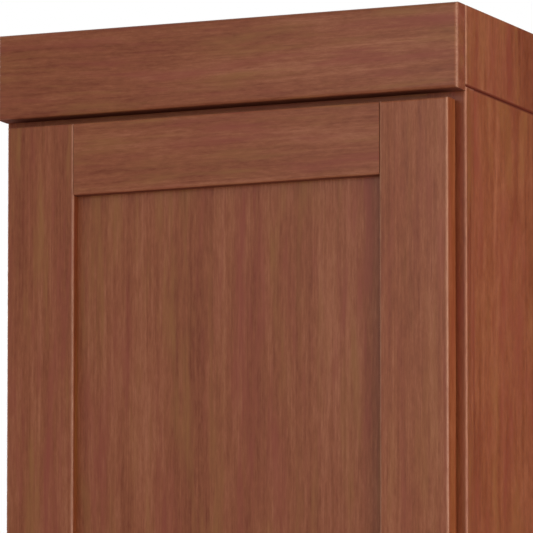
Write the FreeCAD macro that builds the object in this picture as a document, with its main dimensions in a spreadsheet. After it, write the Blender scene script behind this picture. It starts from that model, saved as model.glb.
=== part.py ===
import FreeCAD, Part
import math
import os
import re

import Sketcher

# Linen cabinet: a tall face-frame case with two overlay doors and a flat riser on top.
# The frame has X to the right, Y from the doors to the back, Z up from the floor, in millimetres.

DIMENSIONS = {
    # case
    "cab_width": 457.2,
    "cab_height": 2133.6,
    "box_depth": 533.4,
    "side_thick": 12.7,
    "board_thick": 12.7,
    "top_drop": 6.35,
    "toe_height": 101.6,
    "toe_depth": 76.2,
    "dado_depth": 6.35,
    "dado_play": 0.1,
    "back_thick": 6.35,
    "hang_rail": 76.2,
    "hang_thick": 19,
    # face frame
    "frame_thick": 19,
    "frame_stile": 38.1,
    "top_rail": 38.1,
    "mid_rail": 76.2,
    "bottom_rail": 38.1,
    # riser
    "header_height": 79,
    "header_arris": 3,
    "riser_height": 74.5,
    "riser_thick": 19,
    "glue_block": 25.4,
    # doors
    "door_width": 437.8,
    "door_thick": 19,
    "door_gap": 2.2,
    "door_stile": 67,
    "door_rail": 67,
    "door_drop": 86.8,
    "toe_reveal": 12.1,
    "lower_door": 762,
    "door_split": 25.4,
    "groove_depth": 9.5,
    "groove_play": 0.1,
    "panel_recess": 10,
    "panel_thick": 6,
    "panel_play": 1,
    "arris": 2,
    # knobs
    "knob_reach": 26,
    "knob_radius": 16,
    "knob_face_radius": 13,
    "knob_bevel": 3,
    "knob_head": 10,
    "knob_base_radius": 9,
    "knob_base": 2.5,
    "knob_neck_radius": 6,
    "knob_inset": 90,
    "knob_tap": 12,
    "knob_tap_radius": 2,
    "knob_bore_radius": 2.2,
    # shelves and their pins
    "shelf_thick": 19,
    "shelf_play": 1.6,
    "shelf_setback": 12,
    "pin_radius": 2.45,
    "pin_hole_radius": 2.5,
    "pin_hole_depth": 10,
    "pin_shank": 9.5,
    "pin_peg": 8,
    "pin_inset": 60,
    "pin_first": 278,
    "pin_pitch": 128,
    "upper_pin_rows": 5,
    "lower_pin_rows": 3,
    # hinges
    "leaf_thick": 0.9,
    "leaf_height": 54,
    "leaf_wing": 50,
    "leaf_wrap": 15,
    "barrel_radius": 3,
    "barrel_bore": 2.06,
    "barrel_clear": 0.4,
    "hinge_pin": 2,
    "knuckle": 18,
    "knuckle_play": 0.3,
    "hinge_inset": 70,
}

# Places and sizes that follow from the dimensions.
PLACES = {
    "front_reach": "door_gap + door_thick + knob_reach",
    "back_y": "(box_depth + front_reach)/2",
    "face_y": "back_y - box_depth",
    "frame_back_y": "face_y + frame_thick",
    "door_back_y": "face_y - door_gap",
    "door_front_y": "door_back_y - door_thick",
    "back_panel_y": "back_y - hang_thick - back_thick",
    "half_width": "cab_width/2",
    "half_inside": "half_width - side_thick",
    "half_opening": "half_width - frame_stile",
    "half_door": "door_width/2",
    "inside_depth": "back_panel_y - frame_back_y",
    "case_top_z": "cab_height - riser_height",
    "floor_top_z": "toe_height + bottom_rail",
    "lower_door_z": "toe_height + toe_reveal",
    "upper_door_z": "lower_door_z + lower_door + door_split",
    "upper_door": "cab_height - door_drop - upper_door_z",
    "mid_rail_z": "upper_door_z - door_split/2 - mid_rail/2",
    "shelf_top_z": "mid_rail_z + mid_rail",
    "ceiling_z": "case_top_z - top_drop - board_thick",
    "rail_length": "door_width - 2*door_stile",
    "groove_width": "panel_thick + 2*groove_play",
    "groove_front": "panel_recess - groove_play",
    "axis_x": "0 - half_door - barrel_clear - barrel_radius",
    "axis_y": "face_y - barrel_clear - barrel_radius",
    "wrap_x": "0 - half_opening - axis_x + barrel_radius",
    "frame_leaf_y": "2*barrel_radius + barrel_clear - leaf_thick",
    "door_leaf_y": "2*barrel_radius + barrel_clear - door_gap",
    "middle_knuckle": "leaf_height - 2*knuckle",
    "wing_start": "2*barrel_radius + 2*barrel_clear",
}

# Which way each side of a piece lies in its bounding box.
SIDES = {
    "left": ("x", "XMin"),
    "right": ("x", "XMax"),
    "front": ("y", "YMin"),
    "back": ("y", "YMax"),
    "foot": ("z", "ZMin"),
    "top": ("z", "ZMax"),
}

V = FreeCAD.Vector
doc = FreeCAD.newDocument("LinenCabinet")
nodes = []


def fill_sheet():
    """Puts every driving dimension in a cell of its own, under its name."""
    table = doc.addObject("Spreadsheet::Sheet", "Dims")
    for row, (name, value) in enumerate(DIMENSIONS.items(), 1):
        table.set(f"A{row}", name)
        table.set(f"B{row}", str(value))
        table.setAlias(f"B{row}", name)
    doc.recompute()
    return table


sheet = fill_sheet()


def expand(formula):
    """The formula with each place written out and each dimension read from the sheet."""
    def swap(found):
        word = found.group(0)
        if word in PLACES:
            return f"({expand(PLACES[word])})"
        return f"Dims.{word}"
    return re.sub(r"[a-z_]{2,}", swap, formula)


def size(formula):
    """The formula's present value in millimetres."""
    return float(sheet.evalExpression(expand(formula)))


def bind(item, prop, formula):
    item.setExpression(prop, expand(formula))


def put(item, place):
    """Binds the item's position to three formulas."""
    for axis, formula in zip("xyz", place):
        bind(item, f"Placement.Base.{axis}", formula)


def new_body(label, place=None):
    """An empty body. One with a place is a node of the cabinet, one without is a pattern piece."""
    body = doc.addObject("PartDesign::Body", label)
    body.Label = label
    if place:
        put(body, place)
        nodes.append(body)
    return body


def new_sketch(body, plane, lift):
    """A sketch on one of the body's own planes, raised along that plane's normal."""
    sketch = body.newObject("Sketcher::SketchObject", f"{body.Name}_sketch")
    origin = [item for item in body.Origin.OriginFeatures if item.Role == plane]
    sketch.AttachmentSupport = [(origin[0], "")]
    sketch.MapMode = "FlatFace"
    bind(sketch, "AttachmentOffset.Base.z", lift)
    return sketch


def hold(sketch, line, point, u, v):
    """Dimensions one point of a sketch from the sketch's origin."""
    for kind, axis, formula in (("DistanceX", -2, u), ("DistanceY", -1, v)):
        if formula == "0":
            sketch.addConstraint(Sketcher.Constraint("PointOnObject", line, point, axis))
            continue
        fixed = Sketcher.Constraint(kind, -1, 1, line, point, size(formula))
        bind(sketch, f"Constraints[{sketch.addConstraint(fixed)}]", formula)


def outline(body, plane, *loops, lift="0"):
    """A sketch of closed loops of straight lines, each corner a pair of formulas."""
    sketch = new_sketch(body, plane, lift)
    for corners in loops:
        points = [V(size(u), size(v), 0) for u, v in corners]
        first = sketch.GeometryCount
        count = len(points)
        for here, after in zip(points, points[1:] + points[:1]):
            sketch.addGeometry(Part.LineSegment(here, after), False)
        for step in range(count):
            ends = (first + step, 2, first + (step + 1) % count, 1)
            sketch.addConstraint(Sketcher.Constraint("Coincident", *ends))
        for step, (u, v) in enumerate(corners):
            hold(sketch, first + step, 1, u, v)
    return sketch


def circles(body, plane, radius, *centres, lift="0"):
    """A sketch of equal circles, each centre a pair of formulas."""
    sketch = new_sketch(body, plane, lift)
    for u, v in centres:
        ring = Part.Circle(V(size(u), size(v), 0), V(0, 0, 1), size(radius))
        line = sketch.addGeometry(ring, False)
        round_size = Sketcher.Constraint("Radius", line, size(radius))
        bind(sketch, f"Constraints[{sketch.addConstraint(round_size)}]", radius)
        hold(sketch, line, 3, u, v)
    return sketch


def rectangle(u_near, v_near, u_far, v_far):
    return [(u_near, v_near), (u_far, v_near), (u_far, v_far), (u_near, v_far)]


def octagon(u, v, radius):
    """Eight corners whose flats lie the radius away from the middle, for a hole that repeats many times."""
    half_turn = math.pi/8
    reach = 1/math.cos(half_turn)
    turns = [half_turn*(2*corner + 1) for corner in range(8)]
    return [(f"{u} + {radius}*({reach*math.cos(turn):.6f})", f"{v} + {radius}*({reach*math.sin(turn):.6f})")
            for turn in turns]


def pad(body, sketch, length):
    feature = body.newObject("PartDesign::Pad", f"{body.Name}_pad")
    feature.Profile = sketch
    bind(feature, "Length", length)
    doc.recompute()


def pocket(body, sketch, depth, along=False):
    """Cuts the sketch into the body, against the plane's normal or along it, and tests that it did."""
    before = body.Shape.Volume
    feature = body.newObject("PartDesign::Pocket", f"{body.Name}_pocket")
    feature.Profile = sketch
    feature.Reversed = along
    bind(feature, "Length", depth)
    doc.recompute()
    if body.Shape.Volume >= before:
        raise RuntimeError(f"a cut in {body.Label} took nothing away")
    return feature


def ease(body, *arrises, radius="arris"):
    """Rounds each arris that is named by the two sides that meet in it."""
    base = body.Tip
    box = base.Shape.BoundBox
    picked = []
    for number, edge in enumerate(base.Shape.Edges, 1):
        for arris in arrises:
            gaps = []
            for axis, far in (SIDES[side] for side in arris):
                gaps += [abs(getattr(end.Point, axis) - getattr(box, far)) for end in edge.Vertexes]
            if max(gaps) < 0.001:
                picked.append(f"Edge{number}")
    feature = body.newObject("PartDesign::Fillet", f"{body.Name}_eased")
    feature.Base = (base, picked)
    bind(feature, "Radius", radius)
    doc.recompute()


def board(label, place, width, depth, height, *arrises):
    """A plain board with some of its arrises eased."""
    body = new_body(label, place)
    pad(body, outline(body, "XY_Plane", rectangle("0", "0", width, depth)), height)
    if arrises:
        ease(body, *arrises)
    return body


def solid(kind, label, **sizes):
    """A Part primitive with its sizes bound to the sheet."""
    item = doc.addObject(f"Part::{kind}", label)
    for prop, formula in sizes.items():
        bind(item, prop, formula)
    return item


def group(label, pattern, places, turn):
    """Copies of one pattern piece, as one node of separate solids; a place may end with a turn of its own."""
    copies = []
    for number, place in enumerate(places):
        copy = doc.addObject("App::Link", f"{label}_copy_{number}")
        copy.LinkedObject = pattern
        own_turn = place[3] if len(place) > 3 else turn
        copy.Placement = FreeCAD.Placement(V(), own_turn)
        put(copy, place[:3])
        copies.append(copy)
    bundle = doc.addObject("Part::Compound", label)
    bundle.Label = label
    bundle.Links = copies
    nodes.append(bundle)


def side_panel(label, place, inner, along):
    """A case side: toe notch, dadoes for the fixed boards, a groove for the back, rows of pin holes."""
    body = new_body(label, place)
    notch = "toe_depth - frame_thick"
    depth = "box_depth - frame_thick"
    profile = [(notch, "0"), (depth, "0"), (depth, "case_top_z"), ("0", "case_top_z"),
               ("0", "toe_height"), (notch, "toe_height")]
    pad(body, outline(body, "YZ_Plane", profile), "side_thick")
    tops = ("floor_top_z", "shelf_top_z", "ceiling_z + board_thick")
    dadoes = [rectangle("0", f"{top} - board_thick", "inside_depth", top) for top in tops]
    pocket(body, outline(body, "YZ_Plane", *dadoes, lift=inner), "dado_depth", along)
    groove = rectangle("inside_depth", "0", "inside_depth + back_thick", "case_top_z")
    pocket(body, outline(body, "YZ_Plane", groove, lift=inner), "dado_depth", along)
    for shelf, rows in (("floor_top_z", "lower_pin_rows"), ("shelf_top_z", "upper_pin_rows")):
        first = f"{shelf} + pin_first"
        holes = [octagon(y, first, "pin_hole_radius") for y in ("pin_inset", "inside_depth - pin_inset")]
        sketch = outline(body, "YZ_Plane", *holes, lift=inner)
        hole = pocket(body, sketch, "pin_hole_depth", along)
        column = body.newObject("PartDesign::LinearPattern", f"{label}_pin_holes")
        column.Originals = [hole]
        column.Direction = (sketch, ["V_Axis"])
        bind(column, "Length", f"pin_pitch*({rows} - 1)")
        bind(column, "Occurrences", rows)
        body.Tip = column
        doc.recompute()
    outer = "left" if along is False else "right"
    ease(body, (outer, "top"))


def case():
    """Sides, fixed boards, back, hanging rails and toe kick."""
    side_panel("left_side_panel", ("0 - half_width", "frame_back_y", "0"), "side_thick", False)
    side_panel("right_side_panel", ("half_inside", "frame_back_y", "0"), "0", True)
    reach = "half_inside + dado_depth - dado_play"
    fixed = {"bottom_panel": "floor_top_z - board_thick",
             "fixed_middle_shelf": "shelf_top_z - board_thick",
             "top_panel": "ceiling_z"}
    for label, foot in fixed.items():
        place = (f"0 - ({reach})", "frame_back_y", foot)
        board(label, place, f"2*({reach})", "inside_depth", "board_thick")
    back_foot = "floor_top_z - board_thick"
    place = (f"0 - ({reach})", "back_panel_y", back_foot)
    board("back_panel", place, f"2*({reach})", "back_thick", f"case_top_z - ({back_foot})")
    hangers = {"bottom_hanging_rail": back_foot,
               "middle_hanging_rail": "shelf_top_z - hang_rail",
               "top_hanging_rail": "case_top_z - hang_rail"}
    for label, foot in hangers.items():
        place = ("0 - half_inside", "back_y - hang_thick", foot)
        board(label, place, "2*half_inside", "hang_thick", "hang_rail")
    place = ("0 - half_inside", "face_y + toe_depth", "0")
    board("toe_kick", place, "2*half_inside", "board_thick", "toe_height")


def face_frame():
    """Two full stiles with three rails between them."""
    tall = "case_top_z - toe_height"
    stiles = {"left": "0 - half_width", "right": "half_opening"}
    for side, x in stiles.items():
        place = (x, "face_y", "toe_height")
        arrises = [("front", side), ("top", side)]
        board(f"frame_{side}_stile", place, "frame_stile", "frame_thick", tall, *arrises)
    rails = {"bottom_rail": "toe_height", "mid_rail": "mid_rail_z", "top_rail": "case_top_z - top_rail"}
    for rail, foot in rails.items():
        board(f"frame_{rail}", ("0 - half_opening", "face_y", foot), "2*half_opening", "frame_thick", rail)


def riser():
    """The flat header with its two returns, a stretcher at the back and glue blocks in the corners."""
    place = ("0 - half_width", "face_y - door_gap - door_thick", "cab_height - header_height")
    joints = [("back", "left"), ("back", "right")]
    header = board("header_board", place, "cab_width", "door_gap + door_thick", "header_height", *joints)
    ease(header, *[("front", side) for side in ("left", "right", "foot", "top")], radius="header_arris")
    inner = "half_width - riser_thick"
    returns = {"left": "0 - half_width", "right": inner}
    for side, x in returns.items():
        arrises = [(side, "front"), (side, "foot")]
        board(f"riser_{side}_return", (x, "face_y", "case_top_z"), "riser_thick", "box_depth", "riser_height",
              *arrises)
    place = (f"0 - ({inner})", "back_y - riser_thick", "case_top_z")
    board("riser_back_stretcher", place, f"2*({inner})", "riser_thick", "riser_height")
    block = solid("Box", "glue_block", Length="glue_block", Width="glue_block", Height="riser_height - arris")
    rows = ("face_y", "back_y - riser_thick - glue_block")
    columns = (f"0 - ({inner})", f"{inner} - glue_block")
    group("riser_glue_blocks", block, [(x, y, "case_top_z") for x in columns for y in rows], UPRIGHT)


def stile(label, place, groove_side, height):
    """A door stile, grooved along its inner edge for the rails' tenons and the panel."""
    body = new_body(label, place)
    back = "groove_front + groove_width"
    floor = "door_stile - groove_depth"
    profile = [("0", "0"), ("door_stile", "0"), ("door_stile", "groove_front"), (floor, "groove_front"),
               (floor, back), ("door_stile", back), ("door_stile", "door_thick"), ("0", "door_thick")]
    if groove_side == "left":
        mirrored = {"0": "door_stile", "door_stile": "0", floor: "groove_depth"}
        profile = [(mirrored[u], v) for u, v in reversed(profile)]
    pad(body, outline(body, "XY_Plane", profile), height)
    ease(body, *[("front", side) for side in ("left", "right", "foot", "top")])
    return body


def rail(label, place, groove_side):
    """A door rail, grooved along its inner edge, with a stub tenon at each end."""
    body = new_body(label, place)
    back = "groove_front + groove_width"
    floor = "door_rail - groove_depth"
    profile = [("0", "0"), ("0", "door_rail"), ("groove_front", "door_rail"), ("groove_front", floor),
               (back, floor), (back, "door_rail"), ("door_thick", "door_rail"), ("door_thick", "0")]
    tenon = rectangle("panel_recess", "0", "panel_recess + panel_thick", floor)
    if groove_side == "foot":
        mirrored = {"0": "door_rail", "door_rail": "0", floor: "groove_depth"}
        profile = [(u, mirrored[v]) for u, v in reversed(profile)]
        tenon = rectangle("panel_recess", "groove_depth", "panel_recess + panel_thick", "door_rail")
    pad(body, outline(body, "YZ_Plane", profile), "rail_length")
    ease(body, ("front", "foot"), ("front", "top"))
    reach = "groove_depth - panel_play"
    pad(body, outline(body, "YZ_Plane", tenon, lift=f"0 - ({reach})"), f"rail_length + 2*({reach})")


def door(name, foot, height, knob_z):
    """A five-piece door with its knob; knob_z is measured from the door's foot."""
    stile(f"{name}_door_hinge_stile", ("0 - half_door", "door_front_y", foot), "right", height)
    place = ("half_door - door_stile", "door_front_y", foot)
    knob_stile = stile(f"{name}_door_knob_stile", place, "left", height)
    bore = circles(knob_stile, "XZ_Plane", "knob_bore_radius", ("door_stile/2", knob_z))
    pocket(knob_stile, bore, "door_thick")
    start = "0 - rail_length/2"
    rail(f"{name}_door_bottom_rail", (start, "door_front_y", foot), "top")
    rail(f"{name}_door_top_rail", (start, "door_front_y", f"{foot} + {height} - door_rail"), "foot")
    tuck = "groove_depth - panel_play"
    place = (f"{start} - ({tuck})", "door_front_y + panel_recess", f"{foot} + door_rail - ({tuck})")
    board(f"{name}_door_panel", place, f"rail_length + 2*({tuck})", "panel_thick",
          f"{height} - 2*door_rail + 2*({tuck})")
    centre = ("half_door - door_stile/2", "door_front_y", f"{foot} + {knob_z}")
    group(f"{name}_knob", KNOB, [centre], TO_FRONT)


def knob():
    """A turned knob, bevelled in front and tapped from behind; its axis is Z, from the door outwards."""
    body = new_body("knob")
    head = "knob_reach - knob_head"
    rim = "knob_reach - knob_bevel"
    profile = [("knob_tap_radius", "0"), ("knob_base_radius", "0"), ("knob_base_radius", "knob_base"),
               ("knob_neck_radius", "knob_base"), ("knob_neck_radius", head), ("knob_radius", head),
               ("knob_radius", rim), ("knob_face_radius", "knob_reach"), ("0", "knob_reach"),
               ("0", "knob_tap"), ("knob_tap_radius", "knob_tap")]
    sketch = outline(body, "XZ_Plane", profile)
    turning = body.newObject("PartDesign::Revolution", "knob_turning")
    turning.Profile = sketch
    turning.ReferenceAxis = (sketch, ["V_Axis"])
    turning.Angle = 360
    return body


def shelves():
    """Adjustable shelves, each on four pins: rows are counted from the lowest hole."""
    half = "half_inside - shelf_play"
    depth = "inside_depth - shelf_setback - shelf_play"
    seats = {"lower_shelf": ("floor_top_z", "1"), "upper_shelf_low": ("shelf_top_z", "0"),
             "upper_shelf_middle": ("shelf_top_z", "2"), "upper_shelf_high": ("shelf_top_z", "4")}
    rows = ("frame_back_y + pin_inset", "back_panel_y - pin_inset")
    for label, (floor, row) in seats.items():
        height = f"{floor} + pin_first + {row}*pin_pitch"
        place = (f"0 - ({half})", "frame_back_y + shelf_setback", f"{height} + pin_radius")
        board(label, place, f"2*({half})", depth, "shelf_thick", ("front", "top"), ("front", "foot"))
        left = [("0 - half_inside - pin_shank", y, height, TO_RIGHT) for y in rows]
        right = [("half_inside + pin_shank", y, height, TO_LEFT) for y in rows]
        group(f"{label}_pins", SHELF_PIN, left + right, UPRIGHT)


def frame_leaf():
    """The hinge leaf on the face frame: outer knuckles, a plate under the door, a wrap round the stile."""
    body = new_body("frame_leaf")
    face = "frame_leaf_y + leaf_thick"
    inner = "wrap_x + leaf_thick"
    plate = [("barrel_radius", "frame_leaf_y"), (inner, "frame_leaf_y"), (inner, f"{face} + leaf_wrap"),
             ("wrap_x", f"{face} + leaf_wrap"), ("wrap_x", face), ("barrel_radius", face)]
    pad(body, outline(body, "XY_Plane", plate), "leaf_height")
    axis = ("barrel_radius", "barrel_radius")
    pad(body, circles(body, "XY_Plane", "barrel_radius", axis), "leaf_height")
    pocket(body, circles(body, "XY_Plane", "barrel_bore", axis), "leaf_height", along=True)
    room = "2*barrel_radius + barrel_clear"
    notch = outline(body, "XY_Plane", rectangle("0", "0", room, room), lift="knuckle")
    pocket(body, notch, "middle_knuckle", along=True)
    return body


def door_leaf():
    """The hinge leaf on the door's back: a wing with a neck up to the middle knuckle."""
    body = new_body("door_leaf")
    far = "door_leaf_y + leaf_thick"
    wing = rectangle("wing_start", "door_leaf_y", "wing_start + leaf_wing", far)
    pad(body, outline(body, "XY_Plane", wing), "leaf_height")
    band = "knuckle + knuckle_play"
    long = "middle_knuckle - 2*knuckle_play"
    neck = rectangle("2*barrel_radius - leaf_thick", "door_leaf_y", "wing_start + leaf_thick", far)
    pad(body, outline(body, "XY_Plane", neck, lift=band), long)
    axis = ("barrel_radius", "barrel_radius")
    pad(body, circles(body, "XY_Plane", "barrel_radius", axis, lift=band), long)
    pocket(body, circles(body, "XY_Plane", "barrel_bore", axis), "leaf_height", along=True)
    return body


def hinges(name, feet):
    """One door's hinges; feet are the heights of their lower ends."""
    corner = ("axis_x - barrel_radius", "axis_y - barrel_radius")
    group(f"{name}_hinge_frame_leaves", FRAME_LEAF, [(*corner, foot) for foot in feet], UPRIGHT)
    group(f"{name}_hinge_door_leaves", DOOR_LEAF, [(*corner, foot) for foot in feet], UPRIGHT)
    group(f"{name}_hinge_pins", HINGE_PIN, [("axis_x", "axis_y", foot) for foot in feet], UPRIGHT)


UPRIGHT = FreeCAD.Rotation()
TO_FRONT = FreeCAD.Rotation(V(1, 0, 0), 90)
TO_RIGHT = FreeCAD.Rotation(V(0, 1, 0), 90)
TO_LEFT = FreeCAD.Rotation(V(0, 1, 0), -90)
KNOB = knob()
SHELF_PIN = solid("Prism", "shelf_pin", Circumradius="pin_radius", Height="pin_shank + pin_peg")
SHELF_PIN.Polygon = 8
FRAME_LEAF = frame_leaf()
DOOR_LEAF = door_leaf()
HINGE_PIN = solid("Cylinder", "hinge_pin", Radius="hinge_pin", Height="leaf_height")

case()
face_frame()
riser()
shelves()
door("upper", "upper_door_z", "upper_door", "knob_inset")
door("lower", "lower_door_z", "lower_door", "(lower_door - knob_inset)")
low = "{foot} + hinge_inset"
middle = "{foot} + {height}/2 - leaf_height/2"
high = "{foot} + {height} - hinge_inset - leaf_height"
hinges("upper", [spot.format(foot="upper_door_z", height="upper_door") for spot in (low, middle, high)])
hinges("lower", [spot.format(foot="lower_door_z", height="lower_door") for spot in (low, high)])
doc.recompute()

os.makedirs("parts", exist_ok=True)
for item in doc.Objects:
    if "Invalid" in item.State or "Error" in item.State:
        raise RuntimeError(f"{item.Label} failed: {item.State}")
for node in nodes:
    if node.Shape.isNull() or not node.Shape.isValid():
        raise RuntimeError(f"{node.Label} has no valid shape")
for node in nodes:
    node.Shape.exportStep(f"parts/{node.Label}.step")
print(len(nodes), "pieces written")
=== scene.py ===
import math

import bmesh
import bpy
import numpy as np
from bpy.props import FloatProperty, FloatVectorProperty, PointerProperty
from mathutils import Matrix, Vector


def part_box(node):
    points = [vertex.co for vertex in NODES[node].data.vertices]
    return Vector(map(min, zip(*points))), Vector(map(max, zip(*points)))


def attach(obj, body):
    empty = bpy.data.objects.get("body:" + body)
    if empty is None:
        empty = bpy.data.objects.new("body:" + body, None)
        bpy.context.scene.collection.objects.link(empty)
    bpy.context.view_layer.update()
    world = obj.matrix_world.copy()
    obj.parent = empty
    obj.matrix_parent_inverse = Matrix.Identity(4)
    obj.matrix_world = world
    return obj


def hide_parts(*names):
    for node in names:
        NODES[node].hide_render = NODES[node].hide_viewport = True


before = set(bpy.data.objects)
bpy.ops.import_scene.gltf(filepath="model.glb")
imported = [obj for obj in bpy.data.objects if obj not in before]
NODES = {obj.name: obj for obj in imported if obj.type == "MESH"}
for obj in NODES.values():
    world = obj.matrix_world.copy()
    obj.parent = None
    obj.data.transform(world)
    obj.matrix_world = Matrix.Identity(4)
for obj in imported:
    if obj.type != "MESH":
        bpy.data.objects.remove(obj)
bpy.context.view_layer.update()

bl_info = {
    "name": "Linen Cabinet",
    "version": (1, 0, 0),
    "blender": (4, 5, 0),
    "location": "View3D > Sidebar > Cabinet",
    "description": "Finishes a tall linen cabinet with stained boards, veneer and satin nickel hardware",
    "category": "Object",
}

MM = 0.001

# The axes that a board's grain can run along.
X, Z = 0, 2

# Pieces that come in pairs or sets.
DOORS = ("upper", "lower")
SIDE_PANELS = ("left_side_panel", "right_side_panel")
FRAME_STILES = ("frame_left_stile", "frame_right_stile")
FRAME_RAILS = ("frame_top_rail", "frame_mid_rail", "frame_bottom_rail")
RISER_RETURNS = ("riser_left_return", "riser_right_return")
HINGE_STILES = ("upper_door_hinge_stile", "lower_door_hinge_stile")
KNOB_STILES = ("upper_door_knob_stile", "lower_door_knob_stile")
DOOR_PANELS = ("upper_door_panel", "lower_door_panel")
LOOSE_SHELVES = ("lower_shelf", "upper_shelf_low", "upper_shelf_middle", "upper_shelf_high")
HINGE_NODES = ("hinge_frame_leaves", "hinge_door_leaves", "hinge_pins")
HINGE_COUNT = {"upper": 3, "lower": 2}

# Boards by finish and by the way their grain runs.
UPRIGHT_STAINED = (
    *SIDE_PANELS, *FRAME_STILES, *RISER_RETURNS,
    "upper_door_hinge_stile", "upper_door_knob_stile", "upper_door_panel",
    "lower_door_hinge_stile", "lower_door_knob_stile", "lower_door_panel",
)
LEVEL_STAINED = (
    "header_board", *FRAME_RAILS, "toe_kick",
    "upper_door_top_rail", "upper_door_bottom_rail", "lower_door_top_rail", "lower_door_bottom_rail",
)
LEVEL_VENEER = ("bottom_panel", "fixed_middle_shelf", "top_panel", *LOOSE_SHELVES)
UPRIGHT_VENEER = ("back_panel",)
LEVEL_PLAIN = ("top_hanging_rail", "middle_hanging_rail", "bottom_hanging_rail", "riser_back_stretcher")
UPRIGHT_PLAIN = ("riser_glue_blocks",)

# Where in the pattern a board is cut from: the first board of each group, and some boards by themselves.
FIRST_UPRIGHT_FIGURE = 1
FIRST_LEVEL_FIGURE = 31
FIRST_PALE_FIGURE = 61
CHOSEN_FIGURE = {
    "riser_right_return": 1206, "right_side_panel": 1102, "upper_door_top_rail": 736,
    "upper_door_hinge_stile": 1507, "upper_door_knob_stile": 1008, "upper_door_panel": 209,
}
FIGURE_STEPS = (0.731, 1.137, 1.913)
FIGURE_SPANS = (5, 7, 9)

# The fields of a figure: features per metre across and along the grain, detail and roughness of the noise.
FIGURE_FIELDS = {
    "band": (42, 2.6, 2, 0.5),
    "hue": (60, 6.5, 3, 0.65),
    "streak": (165, 6, 3, 0.6),
    "fibre": (560, 10, 2, 0.6),
    "line": (380, 1.2, 2, 0.6),
    "mottle": (90, 28, 1, 0.5),
    "dash": (400, 80, 3, 0.75),
    "pore": (1000, 30, 1, 0.5),
    "rings": (11, 1.1, 1, 0.5),
}
RING_TURNS = 95.0

# How strongly the fields show in the tone of stained and of pale wood, in the coat and in the relief.
STAIN_WEIGHTS = {"band": 0.85, "streak": 0.75, "fibre": 0.4, "line": 0.4, "dash": 1.05, "mottle": 0.3,
                 "rings": 0.09}
PALE_WEIGHTS = {"band": 0.5, "streak": 0.7, "fibre": 0.6, "rings": 0.16}
COAT_WEIGHTS = {"streak": 0.12}
RELIEF_WEIGHTS = {"fibre": 0.6, "pore": 0.5}
RELIEF_STRENGTH = 0.35
RELIEF_DEPTH = 0.05*MM

# How a figure sways from side to side: features per metre across and along the grain, detail and swing.
SWAY_ACROSS = 4
SWAY_WAVES = 0.9
SWAY_DETAIL = 1.5
SWAY_SWING = 3*MM

# Boards about the seam have a broad veneer figure, level boards a wavy one, other boards long streaks.
VENEER_SPREAD = 0.5
VENEER_RUN = 1.15
LEVEL_WAVES = 3.2
LEVEL_SWING = 9*MM
UPRIGHT_RUN = 0.75

# Spans of the hue and pore fields over which the tone goes to red, to gold and to the dark of the pores.
RED_SPAN = (0.48, 0.32)
RED_MOST = 0.76
GOLD_SPAN = (0.53, 0.70)
GOLD_MOST = 0.68
STAIN_PORE_SPAN = (0.36, 0.26)
STAIN_PORE_MOST = 0.35
PALE_PORE_SPAN = (0.34, 0.25)
PALE_PORE_MOST = 0.3

# The side panels and the riser's returns meet at a level seam, one on each side of the case.
ABOUT_THE_SEAM = (*SIDE_PANELS, *RISER_RETURNS)

# Boards whose bands lean more or less to red and to gold than the others do.
LEANS = (dict.fromkeys(HINGE_STILES, 1.15)
         | dict.fromkeys(KNOB_STILES, 0.65)
         | dict.fromkeys(ABOUT_THE_SEAM, 0.9))

# Boards whose stain took a little differently, and boards tinted as painted light and shade: the frame
# stiles deeper as painted shade in the reveal beside the doors, the knob stiles lighter and greyer as a
# painted sheen, and the top rail lighter as painted light in the gap under the header.
TONE_AND_LIGHT_CASTS = (dict.fromkeys(SIDE_PANELS, (1.04, 0.95, 0.84))
         | dict.fromkeys(RISER_RETURNS, (1.02, 0.93, 0.85))
         | dict.fromkeys(FRAME_STILES, (1.0, 0.88, 0.82))
         | dict.fromkeys(KNOB_STILES, (1.08, 1.10, 1.10))
         | {"frame_top_rail": (1.12, 1.1, 1.0)})

# Boards whose left and right edges took the stain differently, and how far in that starts and is full.
WARM_EDGE = (0.92, 0.78, 0.62)
END_GRAIN = (0.96, 0.89, 0.93)
EDGE_CASTS = dict.fromkeys((*HINGE_STILES, *KNOB_STILES), WARM_EDGE) | {"header_board": END_GRAIN}
EDGE_DEPTH = (0.6*MM, 0.2*MM)

# Faces that look down are darker, as painted shade, and duller. The span is of the normal's upward part.
UNDERSIDE_PAINTED_SHADE = (0.6, 0.42, 0.32)
DOWNWARD_SPAN = (-0.8, -0.98)
DULL_ROUGHNESS = 0.5

# Wear along the front's arrises, lightened further as a painted highlight: how near to one it starts and is
# full, and how it follows the dashes.
WEAR_AND_HIGHLIGHT_FADE = (2.6*MM, 0.6*MM)
WEAR_AND_HIGHLIGHT_SPAN = (0.35, 0.65)
WEAR_AND_HIGHLIGHT_SHARE = (0.3, 0.65)
WITHOUT_WEAR_AND_HIGHLIGHT = (*SIDE_PANELS, *DOOR_PANELS, *FRAME_RAILS, "toe_kick")

# Boards that meet another board at one edge: the side on which their free edge lies.
FREE_EDGE = {
    "frame_left_stile": -1, "frame_right_stile": 1,
    "riser_left_return": -1, "riser_right_return": 1,
}

# Boards whose wear and painted highlight reach further back: their distance from the front counts for this
# share.
BACKWARD_WEAR_AND_HIGHLIGHT = dict.fromkeys(("header_board", *RISER_RETURNS), 0.6)

# Stain in the joints: how near to one it starts and is full, and its share in the joint behind the header.
JOINT_FADE = (2.5*MM, 1.2*MM)
HEADER_JOINT_SHARE = 0.5

# The side panels' faces that look into the case: which way they look, and how thick their pale veneer is.
VENEERED_INSIDE = {"left_side_panel": 1, "right_side_panel": -1}
VENEER_THICKNESS = 0.5*MM

# Specular levels of the coats.
STAIN_SPECULAR = 0.24
PALE_SPECULAR = 0.25

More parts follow.
